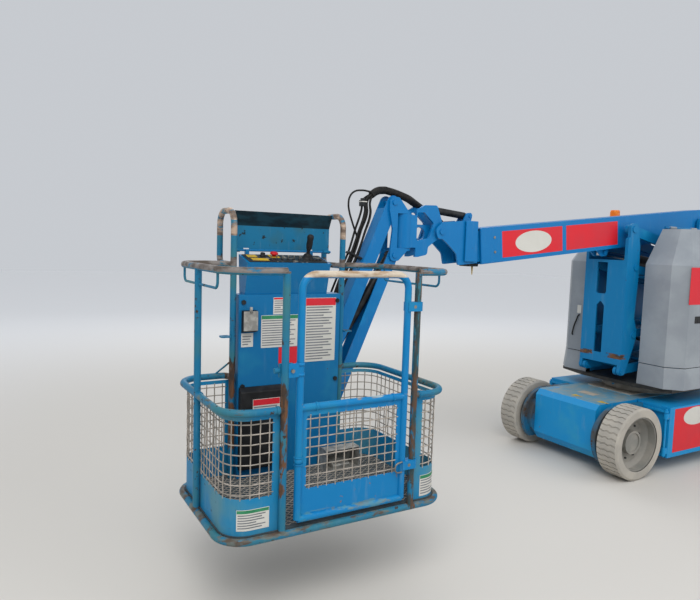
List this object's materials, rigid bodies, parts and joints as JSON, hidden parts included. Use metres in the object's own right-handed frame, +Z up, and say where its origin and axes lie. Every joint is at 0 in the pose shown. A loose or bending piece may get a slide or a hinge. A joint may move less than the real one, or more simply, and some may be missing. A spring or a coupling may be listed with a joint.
{
  "type": "articulating boom lift",
  "caption": "Narrow electric articulating boom lift with scissoring parallel arms, telescoping boom, side-swinging jib and a railed work platform.",
  "frame": {"origin": "centre of the footprint of the machine as it parks, on the ground", "axes": "+X along the boom towards the platform, +Y to the side of the platform gate, +Z up"},
  "size_m": [5.2624, 1.601, 2.1304],
  "materials": {
    "blue_paint": "faded blue enamel, rust at edges",
    "cover_plastic": "grey moulded plastic",
    "tyre": "solid grey rubber, dusty",
    "rim": "grey paint, dusty",
    "chrome_rod": "polished",
    "dark_paint": "satin black",
    "battery": "moulded case",
    "iron": "painted casting",
    "amber": "clear moulded lens",
    "aluminium": "dull casting",
    "zinc_mesh": "galvanised and worn"
  },
  "bodies": {
    "chassis": {"chassis": "blue_paint", "drive_axle": "blue_paint", "steer_axle": "blue_paint"},
    "turntable": {"turntable": "blue_paint", "cover_skirts": "cover_plastic", "counterweights": "iron", "pump_unit": "dark_paint", "beacon": "amber"},
    "platform": {"platform_rails": "blue_paint", "platform_floor": "zinc_mesh", "kick_plates": "blue_paint", "mesh_panels": "zinc_mesh", "control_cabinet": "blue_paint", "control_panel": "dark_paint", "cabinet_boxes": "dark_paint", "foot_switch": "aluminium", "platform_bracket": "blue_paint", "lanyard_anchors": "blue_paint"},
    "gate": {"gate": "blue_paint", "gate_mesh": "zinc_mesh"},
    "wheel_drive_near": {"tyre_drive_near": "tyre", "rim_drive_near": "rim"},
    "wheel_drive_far": {"tyre_drive_far": "tyre", "rim_drive_far": "rim"},
    "wheel_steer_near": {"tyre_steer_near": "tyre", "rim_steer_near": "rim"},
    "wheel_steer_far": {"tyre_steer_far": "tyre", "rim_steer_far": "rim"},
    "battery_tray_near": {"battery_tray_near": "blue_paint", "battery_pack_near": "battery"},
    "battery_tray_far": {"battery_tray_far": "blue_paint", "battery_pack_far": "battery"},
    "knuckle_near": {"knuckle_near": "blue_paint"},
    "knuckle_far": {"knuckle_far": "blue_paint"},
    "tie_rod": {"tie_rod": "dark_paint"},
    "cover_near": {"cover_near": "cover_plastic"},
    "cover_far": {"cover_far": "cover_plastic"},
    "lower_arm": {"lower_arm": "blue_paint"},
    "lower_link": {"lower_link": "blue_paint"},
    "upper_link": {"upper_link": "blue_paint"},
    "upper_arm": {"upper_arm": "blue_paint"},
    "mid_pivot": {"mid_pivot": "blue_paint"},
    "upper_pivot": {"upper_pivot": "blue_paint"},
    "boom": {"boom": "blue_paint"},
    "boom_extension": {"boom_extension": "blue_paint"},
    "level_fork": {"level_fork": "blue_paint"},
    "jib_turret": {"jib_turret": "blue_paint"},
    "jib_upper_arm": {"jib_upper_arm": "blue_paint"},
    "jib_lower_arm": {"jib_lower_arm": "blue_paint"},
    "jib_end": {"jib_end": "blue_paint"},
    "secondary_barrel": {"secondary_barrel": "dark_paint"},
    "secondary_rod": {"secondary_rod": "chrome_rod"},
    "primary_barrel": {"primary_barrel": "dark_paint"},
    "primary_rod": {"primary_rod": "chrome_rod"},
    "level_barrel": {"level_barrel": "dark_paint"},
    "level_rod": {"level_rod": "chrome_rod"},
    "jib_barrel": {"jib_barrel": "dark_paint"},
    "jib_rod": {"jib_rod": "chrome_rod"},
    "control_lid": {"control_lid": "blue_paint"}
  },
  "joints": [
    {"name": "slew", "type": "hinge", "parent": "chassis", "child": "turntable", "pos_m": [-1.55172, -0.2055, 0.585], "axis": [0, 0, 1], "range_deg": [-179.5, 179.5]},
    {"name": "secondary_lift", "type": "hinge", "parent": "turntable", "child": "lower_arm", "pos_m": [-2.07172, -0.2055, 0.8], "axis": [0, -1, 0], "range_deg": [0, 60]},
    {"name": "lower_link_turn", "type": "hinge", "parent": "turntable", "child": "lower_link", "pos_m": [-2.18572, -0.2055, 1.101], "axis": [0, -1, 0], "range_deg": [0, 60]},
    {"name": "mid_pivot_level", "type": "hinge", "parent": "lower_arm", "child": "mid_pivot", "pos_m": [-1.02572, -0.2055, 0.741], "axis": [0, -1, 0], "range_deg": [-60, 0]},
    {"name": "upper_arm_turn", "type": "hinge", "parent": "mid_pivot", "child": "upper_arm", "pos_m": [-1.06372, -0.2055, 1.907], "axis": [0, -1, 0], "range_deg": [-60, 0]},
    {"name": "upper_link_turn", "type": "hinge", "parent": "mid_pivot", "child": "upper_link", "pos_m": [-1.11172, -0.2055, 1.599], "axis": [0, -1, 0], "range_deg": [-60, 0]},
    {"name": "upper_pivot_level", "type": "hinge", "parent": "upper_arm", "child": "upper_pivot", "pos_m": [-2.10172, -0.2055, 1.69], "axis": [0, -1, 0], "range_deg": [0, 60]},
    {"name": "secondary_cylinder_turn", "type": "hinge", "parent": "turntable", "child": "secondary_barrel", "pos_m": [-2.01372, -0.2055, 0.852], "axis": [0, -1, 0], "range_deg": [0, 60.19]},
    {"name": "secondary_cylinder_stroke", "type": "slide", "parent": "secondary_barrel", "child": "secondary_rod", "axis": [0.9738, 0, 0.2273], "range_m": [0, 0.32518]},
    {"name": "boom_lift", "type": "hinge", "parent": "upper_pivot", "child": "boom", "pos_m": [-2.13172, -0.2055, 1.998], "axis": [0, -1, 0], "range_deg": [0, 72]},
    {"name": "primary_cylinder_turn", "type": "hinge", "parent": "upper_pivot", "child": "primary_barrel", "pos_m": [-1.97172, -0.2055, 1.59], "axis": [0, -1, 0], "range_deg": [0, 65.14]},
    {"name": "primary_cylinder_stroke", "type": "slide", "parent": "primary_barrel", "child": "primary_rod", "axis": [0.9933, 0, 0.1153], "range_m": [0, 0.49169]},
    {"name": "boom_extend", "type": "slide", "parent": "boom", "child": "boom_extension", "axis": [0.9946, 0, -0.1035], "range_m": [0, 1.2]},
    {"name": "fork_level", "type": "hinge", "parent": "boom_extension", "child": "level_fork", "pos_m": [0.81625, -0.2055, 1.81549], "axis": [0, -1, 0], "range_deg": [-72, 0]},
    {"name": "level_cylinder_turn", "type": "hinge", "parent": "boom_extension", "child": "level_barrel", "pos_m": [0.53325, -0.2055, 1.93548], "axis": [0, -1, 0], "range_deg": [-18.9, 0]},
    {"name": "level_cylinder_stroke", "type": "slide", "parent": "level_barrel", "child": "level_rod", "axis": [0.9958, 0, 0.0911], "range_m": [0, 0.14151]},
    {"name": "jib_swing", "type": "hinge", "parent": "level_fork", "child": "jib_turret", "pos_m": [1.08525, -0.2055, 1.92199], "axis": [0, 0, 1], "range_deg": [-90, 90]},
    {"name": "jib_lift", "type": "hinge", "parent": "jib_turret", "child": "jib_upper_arm", "pos_m": [1.19025, -0.2055, 1.98998], "axis": [0, -1, 0], "range_deg": [-4, 135]},
    {"name": "jib_lower_arm_turn", "type": "hinge", "parent": "jib_turret", "child": "jib_lower_arm", "pos_m": [1.17825, -0.2055, 1.64999], "axis": [0, -1, 0], "range_deg": [-4, 135]},
    {"name": "jib_end_level", "type": "hinge", "parent": "jib_upper_arm", "child": "jib_end", "pos_m": [1.67672, -0.2055, 0.87117], "axis": [0, -1, 0], "range_deg": [-135, 4]},
    {"name": "jib_cylinder_turn", "type": "hinge", "parent": "jib_turret", "child": "jib_barrel", "pos_m": [1.17825, -0.2055, 1.64999], "axis": [0, -1, 0], "range_deg": [-3.86, 130.1]},
    {"name": "jib_cylinder_stroke", "type": "slide", "parent": "jib_barrel", "child": "jib_rod", "axis": [0.5391, 0, -0.8423], "range_m": [-0.01858, 0.62043]},
    {"name": "platform_turn", "type": "hinge", "parent": "jib_end", "child": "platform", "pos_m": [2.02322, -0.2055, 0.53117], "axis": [0, 0, 1], "range_deg": [-180, 0]},
    {"name": "gate_swing", "type": "hinge", "parent": "platform", "child": "gate", "pos_m": [1.65322, 0.7775, 1], "axis": [0, 0, -1], "range_deg": [0, 68]},
    {"name": "lid_close", "type": "hinge", "parent": "platform", "child": "control_lid", "pos_m": [2.02322, -0.0045, 1.66197], "axis": [-1, 0, 0], "range_deg": [0, 42]},
    {"name": "wheel_drive_near_spin", "type": "hinge", "parent": "chassis", "child": "wheel_drive_near", "pos_m": [-0.75172, 0.3005, 0.2795], "axis": [0, 1, 0], "continuous": true},
    {"name": "steer_near", "type": "hinge", "parent": "chassis", "child": "knuckle_near", "pos_m": [-2.35172, 0.1665, 0.2795], "axis": [0, 0, 1], "range_deg": [-32, 32]},
    {"name": "wheel_steer_near_spin", "type": "hinge", "parent": "knuckle_near", "child": "wheel_steer_near", "pos_m": [-2.35172, 0.3005, 0.2795], "axis": [0, 1, 0], "continuous": true},
    {"name": "battery_tray_near_swing", "type": "hinge", "parent": "chassis", "child": "battery_tray_near", "pos_m": [-1.08272, 0.3685, 0.3], "axis": [0, 0, -1], "range_deg": [0, 85]},
    {"name": "cover_near_lift", "type": "hinge", "parent": "turntable", "child": "cover_near", "pos_m": [-1.55172, 0.0565, 1.934], "axis": [1, 0, 0], "range_deg": [0, 65]},
    {"name": "wheel_drive_far_spin", "type": "hinge", "parent": "chassis", "child": "wheel_drive_far", "pos_m": [-0.75172, -0.7115, 0.2795], "axis": [0, 1, 0], "continuous": true},
    {"name": "steer_far", "type": "hinge", "parent": "chassis", "child": "knuckle_far", "pos_m": [-2.35172, -0.5775, 0.2795], "axis": [0, 0, 1], "range_deg": [-32, 32]},
    {"name": "wheel_steer_far_spin", "type": "hinge", "parent": "knuckle_far", "child": "wheel_steer_far", "pos_m": [-2.35172, -0.7115, 0.2795], "axis": [0, 1, 0], "continuous": true},
    {"name": "battery_tray_far_swing", "type": "hinge", "parent": "chassis", "child": "battery_tray_far", "pos_m": [-1.08272, -0.7795, 0.3], "axis": [0, 0, 1], "range_deg": [0, 85]},
    {"name": "cover_far_lift", "type": "hinge", "parent": "turntable", "child": "cover_far", "pos_m": [-1.55172, -0.4675, 1.934], "axis": [-1, 0, 0], "range_deg": [0, 65]},
    {"name": "tie_rod_slide", "type": "slide", "parent": "chassis", "child": "tie_rod", "axis": [0, 1, 0], "range_m": [-0.06164, 0.06164]}
  ],
  "couplings": [
    {"joint": "lower_link_turn", "follows": "secondary_lift", "ratio": 1},
    {"joint": "mid_pivot_level", "follows": "secondary_lift", "ratio": -1},
    {"joint": "upper_arm_turn", "follows": "secondary_lift", "ratio": -1},
    {"joint": "upper_link_turn", "follows": "secondary_lift", "ratio": -1},
    {"joint": "upper_pivot_level", "follows": "secondary_lift", "ratio": 1},
    {"joint": "secondary_cylinder_turn", "follows": "secondary_lift", "ratio": 1.003},
    {"joint": "secondary_cylinder_stroke", "follows": "secondary_lift", "m_per_rad": 0.31033},
    {"joint": "primary_cylinder_turn", "follows": "boom_lift", "ratio": 0.90462},
    {"joint": "primary_cylinder_stroke", "follows": "boom_lift", "m_per_rad": 0.39112},
    {"joint": "fork_level", "follows": "boom_lift", "ratio": -1},
    {"joint": "level_cylinder_turn", "follows": "boom_lift", "ratio": -0.2624},
    {"joint": "level_cylinder_stroke", "follows": "boom_lift", "m_per_rad": 0.11245},
    {"joint": "jib_lower_arm_turn", "follows": "jib_lift", "ratio": 1},
    {"joint": "jib_end_level", "follows": "jib_lift", "ratio": -1},
    {"joint": "jib_cylinder_turn", "follows": "jib_lift", "ratio": 0.96363},
    {"joint": "jib_cylinder_stroke", "follows": "jib_lift", "m_per_rad": 0.26324},
    {"joint": "steer_far", "follows": "steer_near", "ratio": 1},
    {"joint": "tie_rod_slide", "follows": "steer_near", "m_per_rad": 0.11}
  ]
}
